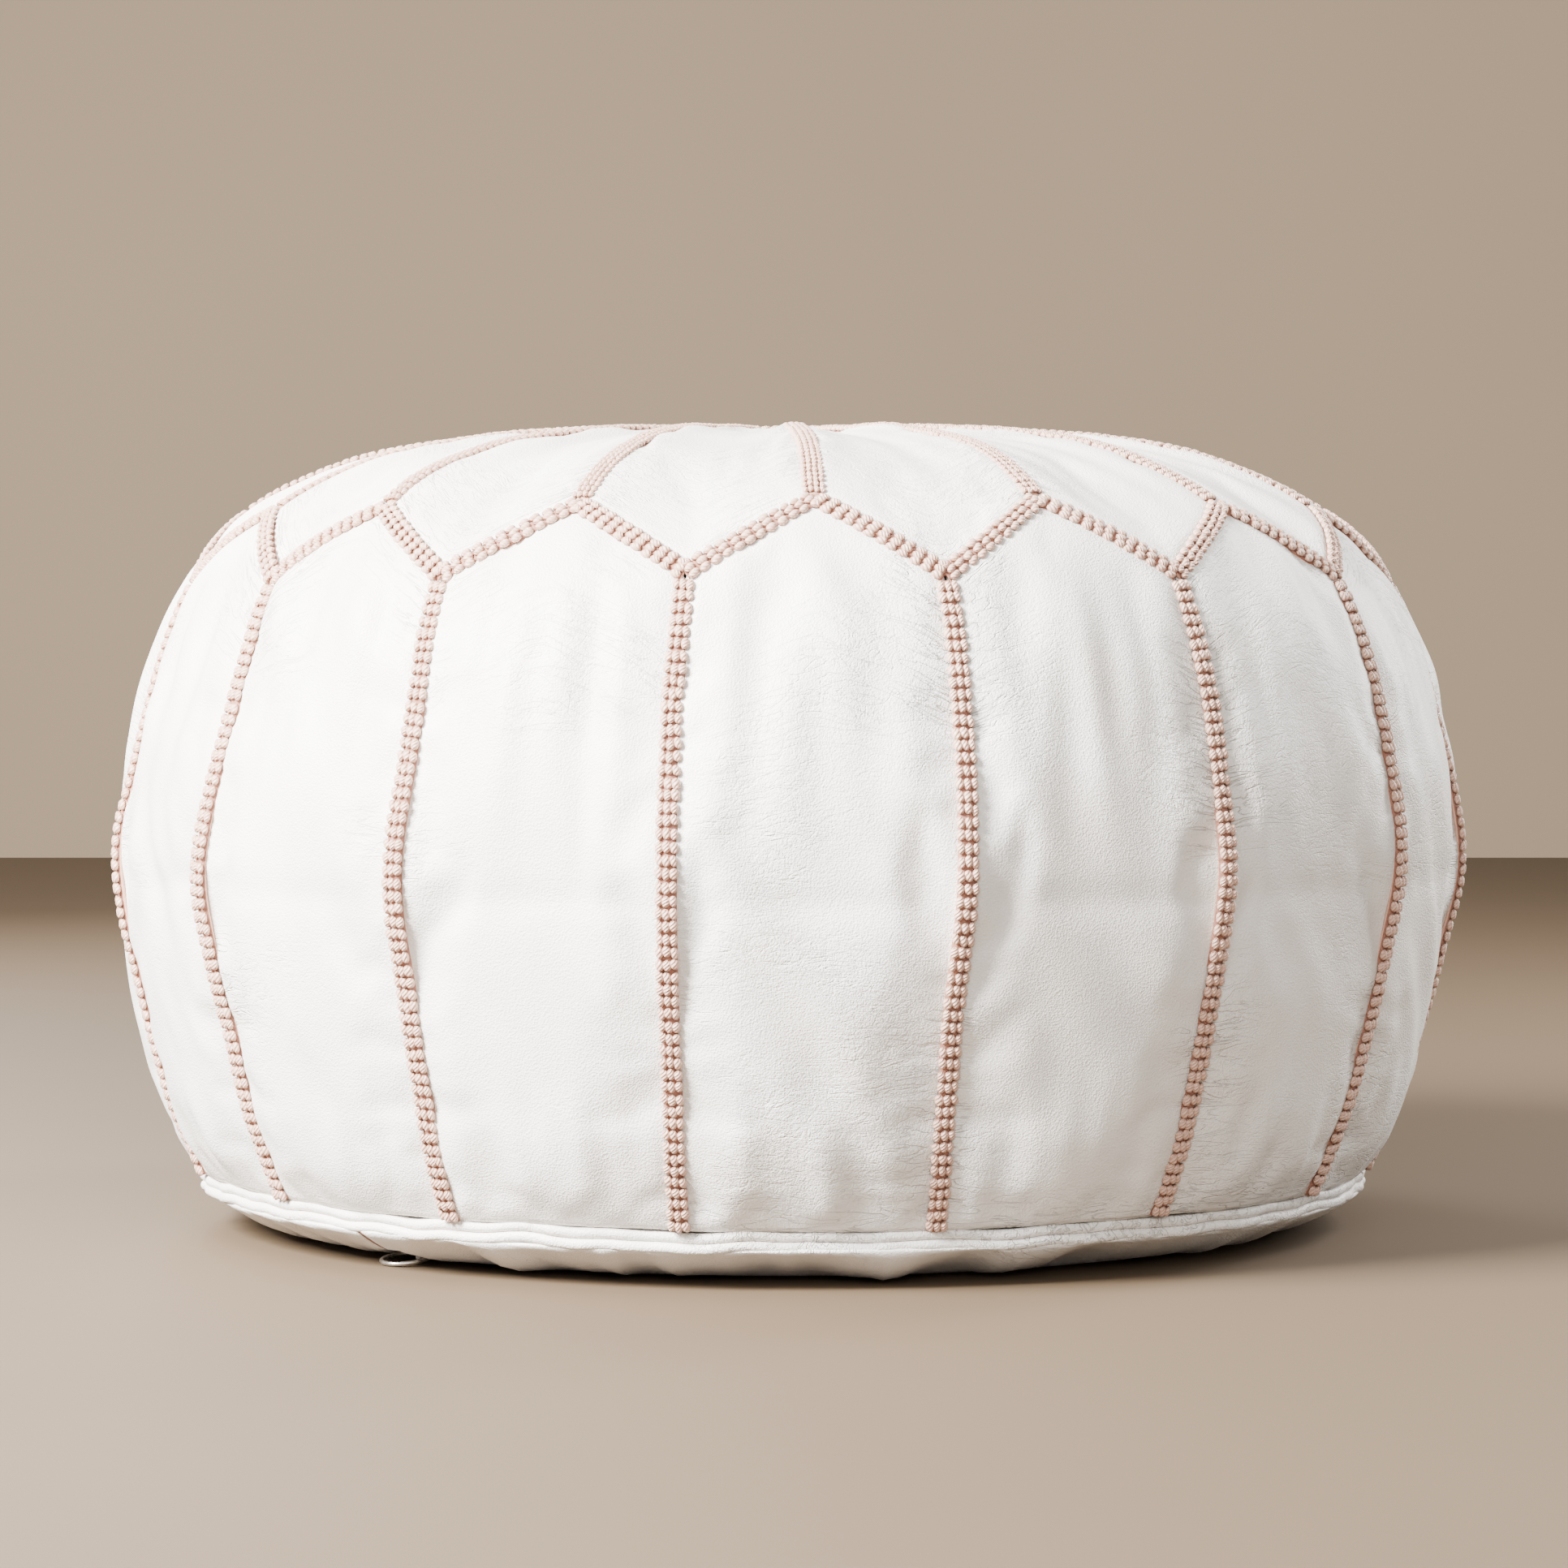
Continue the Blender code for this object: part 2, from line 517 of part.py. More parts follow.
# ---------------------------------------------------------------- the whole pouf
def build():
    for item in list(bpy.context.scene.objects):
        bpy.data.objects.remove(item, do_unlink=True)
    leather = material("white_leather", (0.83, 0.80, 0.76), 0.45)
    thread = material("blush_thread", (0.66, 0.43, 0.36), 0.40)
    tape = material("rust_tape", (0.30, 0.13, 0.07), 0.85)
    coil = material("rust_coil", (0.24, 0.11, 0.06), 0.45)
    metal = material("plated_metal", (0.62, 0.61, 0.59), 0.30, metallic=1.0)
    filling = material("cotton_filling", (0.75, 0.71, 0.63), 0.95)
    add_side_panels(leather)
    add_top_panels(leather)
    add_medallion(leather)
    add_side_braids(thread)
    add_crown_braid(thread)
    add_rim_welt(leather)
    add_base_panels(leather)
    add_zip_chain(tape, coil)
    add_slider(metal)
    add_pull_ring(metal)
    add_stuffing(filling)


build()
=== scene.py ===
"""The looks of a round white leather pouf with blush embroidery over its seams and a zip in its base.

The leather panels are blown up as cloth between their pinned seams. Every embroidery stitch is a
small twisted bead of thread, laid in rows along its seam.
"""

import math
import random

import bmesh
import bpy
import numpy as np
from mathutils import Matrix, Vector, noise
from mathutils.geometry import interpolate_bezier


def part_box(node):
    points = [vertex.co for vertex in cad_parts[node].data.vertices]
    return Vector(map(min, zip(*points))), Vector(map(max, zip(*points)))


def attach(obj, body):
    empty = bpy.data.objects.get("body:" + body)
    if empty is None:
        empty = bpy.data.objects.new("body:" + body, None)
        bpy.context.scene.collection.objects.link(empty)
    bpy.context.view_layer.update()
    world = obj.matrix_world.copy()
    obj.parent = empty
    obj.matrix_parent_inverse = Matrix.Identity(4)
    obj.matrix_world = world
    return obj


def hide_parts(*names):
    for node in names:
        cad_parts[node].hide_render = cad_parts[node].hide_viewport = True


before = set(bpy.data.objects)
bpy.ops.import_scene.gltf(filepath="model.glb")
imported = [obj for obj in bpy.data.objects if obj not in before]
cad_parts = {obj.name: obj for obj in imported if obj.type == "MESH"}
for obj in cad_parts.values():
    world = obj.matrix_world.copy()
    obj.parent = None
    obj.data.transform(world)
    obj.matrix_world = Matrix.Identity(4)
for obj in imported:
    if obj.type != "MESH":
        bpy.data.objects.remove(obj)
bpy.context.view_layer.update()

# ---------------------------------------------------------------- sizes, in metres
PANELS = 16
PITCH = 2 * math.pi / PANELS
FIRST_SEAM = math.radians(-99.0)  # azimuth of the side seam just left of the front
ZIP_TURN = Matrix.Rotation(FIRST_SEAM - 1.5 * PITCH, 4, "Z")  # +X along the zip, to its closed end

SETTLING = 0.0028  # how far the middle of the top has sunk in use
TOP_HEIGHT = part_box("top_medallion")[1][2] - SETTLING
MEDALLION_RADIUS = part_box("top_medallion")[1][0]
WELT_LOW, WELT_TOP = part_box("rim_welt")[0][2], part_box("rim_welt")[1][2]
WELT_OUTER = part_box("rim_welt")[1][0]
RIM_RADIUS, RIM_HEIGHT = WELT_OUTER - 0.0024, WELT_TOP + 0.0003
CREASE_RADIUS, CREASE_HEIGHT = RIM_RADIUS + 0.0335, 0.1490
BASE_RADIUS = RIM_RADIUS - 0.0025
CONTACT_RADIUS = BASE_RADIUS - 0.0375
BASE_RISE = 0.0135

# The side view of the leather, from the rim, over the crease round the flank, to the middle.
PROFILE = (
    (RIM_RADIUS, RIM_HEIGHT),
    (CREASE_RADIUS - 0.0180, 0.0620),
    (CREASE_RADIUS, CREASE_HEIGHT),
    (CREASE_RADIUS - 0.0095, TOP_HEIGHT - 0.1089),
    (CREASE_RADIUS - 0.0275, TOP_HEIGHT - 0.0604),
    (CREASE_RADIUS - 0.0495, TOP_HEIGHT - 0.0339),
    (CREASE_RADIUS - 0.0960, TOP_HEIGHT - 0.0122),
    (CREASE_RADIUS - 0.1540, TOP_HEIGHT - 0.0030),
    (MEDALLION_RADIUS, TOP_HEIGHT),
    (0.0, TOP_HEIGHT + 0.0003),
)
CREASE_KNOT, NOTCH_KNOT, POINT_KNOT, MEDALLION_KNOT = 2, 4, 5, 8
LINE_STEPS = 24

LEATHER = 0.0013
SEAM_DEPTH = 0.0018  # how far the stitching pulls the leather in
COLUMNS = 20  # cloth faces across a panel
SIDE_ROWS, TOP_ROWS = 54, 36
TOP_SLACK = 0.0060  # how far the cloth of a top panel starts under the form
HALF_PANEL, PANEL_LENGTH = 0.054, 0.29  # a panel's rough size, for its pattern and its distance from a seam
CLOTH_FRAMES = 20
SKIN_GROWTH = 0.024
MOST_SWELL = 0.005
BULGE_SEED = 28
GATHER, HANGING_FOLD, SLANTING_FOLD, CREASE_PRESS = 0.0040, 0.0058, 0.0030, 0.0012

BRAID_WIDTH = 0.0082
BRAID_OUT = 0.0004  # the middle of the beads, off the form
SEAM_ROWS_APART, RIB_ROWS_APART, RING_ROWS_APART = 0.0047, 0.0038, 0.0040
BEAD_RISE = 0.0014
STITCH_KINDS = 8
GROUND_ROWS, GROUND_SUNK, GROUND_CROWN = 50, 0.0016, 0.0016

WELT_DEPTH, WELT_STEPS = 0.0048, 384
WELT_TUCK = 0.0038  # how far the folds are pressed in under the flank
BASE_SEGMENTS, BASE_RINGS = 192, 21
LIP_HALF_GAP, LIP_HALF_WIDTH, LIP_HEIGHT = 0.0055, 0.0200, 0.0050
SLIT_HALF_GAP = 0.0013  # between the lips past the ends of the zip
ZIP_HALF_LENGTH = BASE_RADIUS - 0.0235
TAPE_LOW, TAPE_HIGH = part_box("zip_tape_front")[0][2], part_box("zip_tape_front")[1][2]
TAPE_INNER, TAPE_WIDTH, TAPE_ROWS = 0.0033, 0.0110, 240
COIL_LOW, COIL_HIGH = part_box("zip_coil_front")[0][2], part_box("zip_coil_front")[1][2]
COIL_MIDDLE, COIL_HALF_LENGTH, COIL_OFFSET = (COIL_LOW + COIL_HIGH) / 2, ZIP_HALF_LENGTH - 0.0030, 0.0018
COIL_PITCH, COIL_WIRE, COIL_STEPS = 0.0015, 0.0007, 10
RING_RADIUS, RING_WIRE, RING_TILT = 0.0092, 0.0018, math.radians(6.87)
FILLING_GAP = 0.0100

CAMERA_PLACE, CAMERA_TIP, CAMERA_LENS = (0.0, -2.02, 0.2475), -1.96, 112.3
WALL_PLACE = 3.0
FLOOR_COLOUR, WALL_COLOUR = (0.078, 0.053, 0.031), (0.222, 0.167, 0.113)


# ---------------------------------------------------------------- the form of the stuffed cover
def smooth_line(knots):
    """Bezier spans through the knots of a side view, level where it ends on the axis."""
    points = [Vector(knot) for knot in knots]
    before = 2 * points[0] - points[1]
    after = Vector((-points[-2].x, points[-2].y))
    padded = [before, *points, after]
    line = []
    for a, b, c, d in zip(padded, padded[1:], padded[2:], padded[3:]):
        third = (c - b).length / 3
        leave, arrive = (c - a).normalized() * third, (d - b).normalized() * third
        line += interpolate_bezier(b, b + leave, c - arrive, c, LINE_STEPS + 1)[:-1]
    return np.array([*(tuple(point)[:2] for point in line), knots[-1]])


LINE = smooth_line(PROFILE)
ALONG = np.concatenate([[0.0], np.cumsum(np.linalg.norm(np.diff(LINE, axis=0), axis=1))])
CREASE, NOTCH, POINT, MEDALLION = [
    float(ALONG[knot * LINE_STEPS]) for knot in (CREASE_KNOT, NOTCH_KNOT, POINT_KNOT, MEDALLION_KNOT)
]
TANGENTS = np.gradient(LINE, ALONG, axis=0)
TANGENTS /= np.linalg.norm(TANGENTS, axis=1, keepdims=True)


def bump(value, middle, width):
    """1 at the middle, falling smoothly to nothing a few widths away."""
    return math.exp(-(((value - middle) / width) ** 2))


def ridge(along):
    """How far the side seams stand proud of the form, most of all over the crease."""
    return 0.0030 * bump(along, CREASE, 0.030)


noise.seed_set(BULGE_SEED)  # the clock would pick the bulges otherwise, and no two runs would agree


def settled(point):
    """A stuffed pouf is never quite round: it leans a little, and all of it shares these slow bulges."""
    lean = Vector((0.0022 * bump(point.z, 0.23, 0.08), 0, 0))
    slow, quick = noise.noise_vector(point * 9.0), noise.noise_vector(point * 31.0)
    return point + lean + 0.0022 * slow + 0.0007 * quick


def on_form(azimuth, along, out=0.0):
    """The point out metres off the leather's form, along metres up from the rim."""
    radius, height = [float(np.interp(along, ALONG, LINE[:, i])) for i in (0, 1)]
    tangent = [float(np.interp(along, ALONG, TANGENTS[:, i])) for i in (0, 1)]
    radius += out * tangent[1]
    height -= out * tangent[0]
    return settled(Vector((radius * math.cos(azimuth), radius * math.sin(azimuth), height)))


# ---------------------------------------------------------------- finishes
class Value:
    """A shader socket that can be used in ordinary sums."""

    def __init__(self, finish, socket):
        self.finish = finish
        self.socket = socket

    def maths(self, operation, first, second):
        return self.finish.node("ShaderNodeMath", {"operation": operation}, {0: first, 1: second})

    def __add__(self, other):
        return self.maths("ADD", self, other)

    def __radd__(self, other):
        return self.maths("ADD", other, self)

    def __sub__(self, other):
        return self.maths("SUBTRACT", self, other)

    def __rsub__(self, other):
        return self.maths("SUBTRACT", other, self)

    def __mul__(self, other):
        return self.maths("MULTIPLY", self, other)

    def __rmul__(self, other):
        return self.maths("MULTIPLY", other, self)


class Finish:
    """A material under a maker's name. Its constants are set straight on the shader."""

    def __init__(self, name, **constants):
        self.material = bpy.data.materials.new(name)
        self.material.use_nodes = True
        self.tree = self.material.node_tree
        self.shader = self.tree.nodes["Principled BSDF"]
        for socket, value in constants.items():
            self.shader.inputs[socket.replace("_", " ")].default_value = value

    def node(self, kind, settings=None, inputs=None, output=0):
        """A node of that type: its settings, or a ramp's stops, then its sockets' values and links."""
        made = self.tree.nodes.new(kind)
        for name, value in (settings or {}).items():
            if name == "stops":
                for _ in value[2:]:
                    made.color_ramp.elements.new(1.0)
                for element, (place, colour) in zip(made.color_ramp.elements, value):
                    element.position = place
                    element.color = (*colour, 1.0)
            else:
                setattr(made, name, value)
        for name, value in (inputs or {}).items():
            if isinstance(value, Value):
                self.tree.links.new(value.socket, made.inputs[name])
            else:
                made.inputs[name].default_value = value
        return Value(self, made.outputs[output])

    def ramp(self, factor, *stops):
        """Colours, or greys from single numbers, at places along the factor."""
        colours = [(place, c if isinstance(c, tuple) else (c, c, c)) for place, c in stops]
        return self.node("ShaderNodeValToRGB", {"stops": colours}, {"Fac": factor})

    def mix(self, factor, first, second):
        """Two colours mixed by a factor."""
        both = [(*colour, 1.0) if isinstance(colour, tuple) else colour for colour in (first, second)]
        settings = {"data_type": "RGBA"}
        return self.node("ShaderNodeMix", settings, {0: factor, 6: both[0], 7: both[1]}, output=2)

    def place(self):
        return self.node("ShaderNodeTexCoord", output="Object")

    def stretched(self, where, scale):
        return self.node("ShaderNodeVectorMath", {"operation": "MULTIPLY"}, {0: where, 1: scale})

    def grain(self, where, scale, detail=2.0, distortion=0.0):
        inputs = {"Vector": where, "Scale": scale, "Detail": detail, "Distortion": distortion}
        return self.node("ShaderNodeTexNoise", inputs=inputs, output="Fac")

    def cells(self, where, scale):
        """Rounded cells that touch, deepest where they meet."""
        inputs = {"Vector": where, "Scale": scale}
        return self.node("ShaderNodeTexVoronoi", {"feature": "F1"}, inputs, output="Distance")

    def waves(self, where, scale, direction, distortion=0.0):
        settings = {"wave_type": "BANDS", "bands_direction": direction}
        inputs = {"Vector": where, "Scale": scale, "Distortion": distortion}
        return self.node("ShaderNodeTexWave", settings, inputs, output="Fac")

    def attribute(self, name):
        return self.node("ShaderNodeAttribute", {"attribute_name": name}, output="Fac")

    def plug(self, socket, value):
        self.tree.links.new(value.socket, self.shader.inputs[socket])

    def relief(self, height, distance):
        """Bumps of that height, in metres, over the whole surface."""
        inputs = {"Distance": distance, "Height": height}
        self.plug("Normal", self.node("ShaderNodeBump", inputs=inputs, output="Normal"))


def white_leather():
    """Soft white hide: a fine pebble, faint creases, and short puckers beside the stitching."""
    finish = Finish("white_leather", Coat_Weight=0.15, Coat_Roughness=0.3)
    where = finish.place()
    near_seam = finish.attribute("near_seam")
    cut = finish.node("ShaderNodeUVMap", {"uv_map": "cut"})
    pebble = finish.cells(where, 1300.0)
    pores = finish.grain(where, 2400.0, detail=3.0)
    soft = finish.grain(where, 130.0, detail=3.0, distortion=0.6)
    pucker = finish.grain(finish.stretched(cut, (34.0, 150.0, 1.0)), 1.0, detail=3.0, distortion=1.4)
    creases = finish.ramp(pucker, (0.47, 1.0), (0.50, 0.0), (0.53, 1.0))
    veins = finish.grain(where, 95.0, detail=5.0, distortion=1.6)
    crackle = finish.ramp(veins, (0.46, 1.0), (0.5, 0.0), (0.54, 1.0))
    some = finish.ramp(finish.grain(where, 13.0, detail=2.0), (0.47, 0.0), (0.60, 1.0))
    age = finish.grain(where, 24.0, detail=4.0, distortion=0.4)
    skin = pebble * 0.15 + pores * 0.05 + soft * 0.07
    wrinkled = creases * some * (0.14 + near_seam * 0.30) + crackle * some * 0.10
    finish.relief(skin + wrinkled, 0.0014)
    hide = finish.ramp(age, (0.35, (0.78, 0.735, 0.68)), (0.65, (0.84, 0.815, 0.78)))
    # Painted shade: the crease lines beside the seams are mixed towards a darker grey-brown.
    finish.plug("Base Color", finish.mix((1 - creases) * near_seam * some * 0.22, hide, (0.66, 0.59, 0.53)))
    finish.plug("Roughness", 0.36 + age * 0.14 + pebble * 0.16)
    return finish.material


def blush_thread():
    """Silky twisted thread, with painted light: pale on the beads' tops, painted rust shade on their ends
    and undersides.
    """
    finish = Finish("blush_thread", Sheen_Weight=0.2, Sheen_Roughness=0.4)
    uneven = finish.grain(finish.place(), 190.0)
    strands = finish.waves(finish.node("ShaderNodeUVMap", {"uv_map": "twist"}), 0.62, "X", 0.5)
    shade_and_tone = finish.attribute("bite") + (uneven - 0.5) * 0.3
    # Painted light and shade: pale is the painted highlight on top of a bead, rust the painted shade at its
    # ends and underneath.
    pale, blush, rust = (0.66, 0.43, 0.33), (0.47, 0.27, 0.19), (0.14, 0.055, 0.03)
    thread = finish.ramp(shade_and_tone, (0.06, pale), (0.42, blush), (0.80, rust))
    # Painted shade: the grooves between the twisted strands are mixed towards a darker rust.
    finish.plug("Base Color", finish.mix((1 - strands) * 0.35, thread, (0.46, 0.21, 0.14)))
    finish.plug("Roughness", 0.32 + uneven * 0.2)
    finish.relief(strands, 0.00025)
    return finish.material


def ground_thread_in_shade():
    """The tight stitching under the beads, painted dark rust as the shade in the gaps between them."""
    finish = Finish("ground_thread_in_shade", Roughness=0.85)
    fibres = finish.grain(finish.place(), 900.0, detail=3.0)
    finish.plug("Base Color", finish.mix(fibres, (0.16, 0.055, 0.03), (0.46, 0.22, 0.16)))
    finish.relief(fibres, 0.0004)
    return finish.material


def rust_tape():
    """Herringbone zip tape."""
    finish = Finish("rust_tape", Roughness=0.85, Sheen_Weight=0.2)
    weave = finish.waves(finish.node("ShaderNodeUVMap", {"uv_map": "weave"}), 300.0, "DIAGONAL")
    fluff = finish.grain(finish.place(), 1500.0)
    finish.plug("Base Color", finish.mix(weave * 0.6 + fluff * 0.3, (0.17, 0.06, 0.03), (0.38, 0.18, 0.10)))
    finish.relief(weave + fluff * 0.4, 0.0003)
    return finish.material


def rust_coil():
    """Glossy nylon, rubbed dull here and there."""
    finish = Finish("rust_coil", Coat_Weight=0.2)
    rub = finish.grain(finish.place(), 300.0)
    finish.plug("Base Color", finish.mix(rub, (0.19, 0.07, 0.035), (0.33, 0.15, 0.085)))
    finish.plug("Roughness", 0.30 + rub * 0.3)
    finish.relief(rub, 0.0001)
    return finish.material


def plated_metal():
    """Nickel plate, dulled and finely scratched by use."""
    finish = Finish("plated_metal", Metallic=1.0)
    where = finish.place()
    scratches = finish.grain(finish.stretched(where, (400.0, 400.0, 4000.0)), 1.0, detail=3.0)
    wear = finish.grain(where, 240.0, detail=4.0)
    finish.plug("Base Color", finish.mix(wear, (0.48, 0.46, 0.42), (0.80, 0.79, 0.77)))
    finish.plug("Roughness", 0.14 + wear * 0.22 + scratches * 0.1)
    finish.relief(scratches, 0.00005)
    return finish.material


def cotton_filling():
    """Matted cotton."""
    finish = Finish("cotton_filling", Roughness=0.95, Sheen_Weight=0.5)
    tufts = finish.grain(finish.place(), 60.0, detail=6.0, distortion=1.0)
    finish.plug("Base Color", finish.mix(tufts, (0.60, 0.55, 0.47), (0.82, 0.79, 0.72)))
    finish.relief(tufts, 0.006)
    return finish.material


def studio_paint(name, colour):
    """Pale matt paint for the floor and the wall."""
    finish = Finish(name, Roughness=0.75, Specular_IOR_Level=0.25)
    mottle = finish.grain(finish.place(), 2.0)
    finish.plug("Base Color", finish.mix(mottle, colour, tuple(channel * 1.1 for channel in colour)))
    return finish.material


WHITE_LEATHER = white_leather()
BLUSH_THREAD = blush_thread()
GROUND_THREAD_IN_SHADE = ground_thread_in_shade()
RUST_TAPE = rust_tape()
RUST_COIL = rust_coil()
PLATED_METAL = plated_metal()
COTTON_FILLING = cotton_filling()


# ---------------------------------------------------------------- making and fitting the pieces
def new_object(name, bm, *finishes):
    """A bmesh as a smooth object, its place in its mesh."""
    mesh = bpy.data.meshes.new(name)
    bm.to_mesh(mesh)
    bm.free()
    mesh.shade_smooth()
    for finish in finishes:
        mesh.materials.append(finish)
    made = bpy.data.objects.new(name, mesh)
    bpy.context.collection.objects.link(made)
    return made


def fit(piece, body, slot, *nodes):
    """Puts a piece on its body, in the place of its CAD nodes. The slot is not used."""
    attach(piece, body)
    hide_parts(*nodes)


# ---------------------------------------------------------------- the leather, blown up as cloth
def side_place(across, up, panel):
    """Where the cloth of a side panel starts: across from -1 to 1 between its seams, up from 0 to 1."""
    azimuth = FIRST_SEAM + (panel + 0.5 + across / 2) * PITCH
    chevron = max(0.0, (up - 0.45) / 0.55) ** 1.5 * (POINT - NOTCH) * (1 - abs(across))
    along = up * NOTCH + chevron
    belly = (1 - abs(across) ** 2.4) * min(1.0, up * 14, (1 - up) * 9)
    lower = 0.0032 * bump(along, 0.0, 0.05)
    puff = lower - 0.0012 - 0.0040 * bump(along, CREASE, 0.035) - 0.0014 * bump(along, NOTCH, 0.06)
    return on_form(azimuth, along, belly * puff - SEAM_DEPTH + ridge(along) * abs(across) ** 3)


def top_place(across, up, panel):
    """Where the cloth of a top panel starts, up from its notch at 0 to the medallion at 1."""
    azimuth = FIRST_SEAM + (panel + across / 2) * PITCH
    start = NOTCH + (POINT - NOTCH) * abs(across)
    along = start + (MEDALLION - start) * up
    belly = (1 - across**2) * min(1.0, up * 6, (1 - up) * 6)
    return on_form(azimuth, along, -TOP_SLACK * belly - SEAM_DEPTH)


def cloth_cover():
    """The side and top panels as one cloth. Each panel's faces carry its own material number."""
    bm = bmesh.new()
    cut = bm.loops.layers.uv.new("cut")
    near_seam = bm.verts.layers.float.new("near_seam")
    for panel in range(PANELS):
        for rows, place, mark in ((SIDE_ROWS, side_place, panel), (TOP_ROWS, top_place, PANELS + panel)):
            patch = bmesh.ops.create_grid(bm, x_segments=COLUMNS, y_segments=rows, size=1.0)["verts"]
            for face in {face for vertex in patch for face in vertex.link_faces}:
                face.material_index = mark
                for loop in face.loops:
                    across, up = loop.vert.co.x, loop.vert.co.y
                    loop[cut].uv = (mark + HALF_PANEL * across, PANEL_LENGTH / 2 * up)
            for vertex in patch:
                across, up = vertex.co.x, (vertex.co.y + 1) / 2
                edge = min(HALF_PANEL * (1 - abs(across)), PANEL_LENGTH * up, PANEL_LENGTH * (1 - up))
                vertex[near_seam] = bump(edge, 0.0, 0.014)
                vertex.co = place(across, up, panel)
    bmesh.ops.remove_doubles(bm, verts=bm.verts, dist=1e-5)
    bmesh.ops.recalc_face_normals(bm, faces=bm.faces)
    return new_object("cover_cloth", bm)


def seam_vertices(bm):
    """The vertices on the cloth's edges and where two panels meet."""
    seams = set()
    for edge in bm.edges:
        if edge.is_boundary or len({face.material_index for face in edge.link_faces}) > 1:
            seams.update(edge.verts)
    return seams


def inflate(cover):
    """Cloth under pressure, held at its seams. Its skin grows a little, so it puckers along them."""
    pins = cover.vertex_groups.new(name="pins")
    bm = bmesh.new()
    bm.from_mesh(cover.data)
    held = sorted(vertex.index for vertex in seam_vertices(bm))
    bm.free()
    pins.add(held, 1.0, "REPLACE")
    cloth = cover.modifiers.new("cloth", "CLOTH")
    settings = cloth.settings
    settings.quality = 5
    settings.mass = 0.0003
    settings.tension_stiffness = settings.compression_stiffness = 12
    settings.shear_stiffness = 6
    settings.bending_stiffness = 0.2
    settings.vertex_group_mass = pins.name
    settings.shrink_min = settings.shrink_max = -SKIN_GROWTH
    settings.use_pressure = True
    settings.uniform_pressure_force = 8.0
    settings.effector_weights.gravity = 0.0
    scene = bpy.context.scene
    for frame_number in range(1, CLOTH_FRAMES + 1):
        scene.frame_set(frame_number)
    blown = cover.evaluated_get(bpy.context.evaluated_depsgraph_get())
    shape = np.array([vertex.co for vertex in blown.data.vertices])
    cover.modifiers.remove(cloth)
    scene.frame_set(1)
    start = np.array([vertex.co for vertex in cover.data.vertices])
    moved = shape - start
    length = np.linalg.norm(moved, axis=1, keepdims=True)
    shape = start + moved * np.minimum(1.0, MOST_SWELL / np.maximum(length, 1e-9))
    for vertex, place in zip(cover.data.vertices, shape):
        vertex.co = place


def rumple(cover):
    """Presses soft folds into the blown leather.

    There are gathers over the welt, folds hanging from the shoulder, slanting ones, and the crease.
    """
    distance_from_seam = [1 - item.value for item in cover.data.attributes["near_seam"].data]
    normals = [vertex.normal.copy() for vertex in cover.data.vertices]
    for vertex, normal, free in zip(cover.data.vertices, normals, distance_from_seam):
        x, y, z = vertex.co
        girth = math.atan2(y, x) * CREASE_RADIUS
        gather = noise.noise(Vector((girth / 0.013, z / 0.07, 3))) * bump(z, 0.045, 0.032)
        slant = noise.noise(Vector(((girth + 0.7 * z) / 0.021, (z - 0.4 * girth) / 0.075, 11)))
        fold = slant * (0.5 + noise.noise(Vector((x, y, z)) * 11))
        hang = noise.noise(Vector((girth / 0.016, z / 0.11, 7))) * bump(z, 0.225, 0.050)
        wander = CREASE_HEIGHT - 0.005 + 0.003 * noise.noise(Vector((girth / 0.06, 0, 0)))
        folds = GATHER * gather + HANGING_FOLD * hang + SLANTING_FOLD * fold
        vertex.co += normal * (folds - CREASE_PRESS * bump(z, wander, 0.005)) * free


def cut_panels(cover):
    """Cuts the blown cloth along its seams into the separate panels, each with its thickness."""
    names = [f"side_panel_{i + 1:02d}" for i in range(PANELS)]
    names += [f"top_panel_{i + 1:02d}" for i in range(PANELS)]
    for mark, node in enumerate(names):
        bm = bmesh.new()
        bm.from_mesh(cover.data)
        others = [face for face in bm.faces if face.material_index != mark]
        bmesh.ops.delete(bm, geom=others, context="FACES")
        for face in bm.faces:
            face.material_index = 0
        panel = new_object(node.replace("panel", "leather"), bm, WHITE_LEATHER)
        smooth = panel.modifiers.new("smooth", "SUBSURF")
        smooth.levels = smooth.render_levels = 1
        hide = panel.modifiers.new("hide", "SOLIDIFY")
        hide.thickness = LEATHER
        hide.offset = -1.0
        fit(panel, "cover", "white_leather", node)
    bpy.data.objects.remove(cover)


def medallion():
    """The leather disc at the middle of the top, a little crowned."""
    bm = bmesh.new()
    bmesh.ops.create_circle(bm, cap_ends=True, segments=96, radius=MEDALLION_RADIUS + 0.0005)
    for _ in range(9):
        inner = [face for face in bm.faces if face.calc_center_median().length < 0.001]
        bmesh.ops.inset_region(bm, faces=inner, thickness=0.0036, use_boundary=True)
    cut = bm.loops.layers.uv.new("cut")
    near_seam = bm.verts.layers.float.new("near_seam")
    for face in bm.faces:
        for loop in face.loops:
            loop[cut].uv = loop.vert.co.xy
    for vertex in bm.verts:
        edge = MEDALLION_RADIUS - vertex.co.length
        vertex[near_seam] = bump(edge, 0.0, 0.010)
        crown = 0.0028 * min(1.0, max(0.0, edge / MEDALLION_RADIUS) * 2.2)
        vertex.co = settled(Vector((*vertex.co.xy, TOP_HEIGHT - SEAM_DEPTH + crown)))
    disc = new_object("medallion_leather", bm, WHITE_LEATHER)
    hide = disc.modifiers.new("hide", "SOLIDIFY")
    hide.thickness = LEATHER
    hide.offset = -1.0
    fit(disc, "cover", "white_leather", "top_medallion")


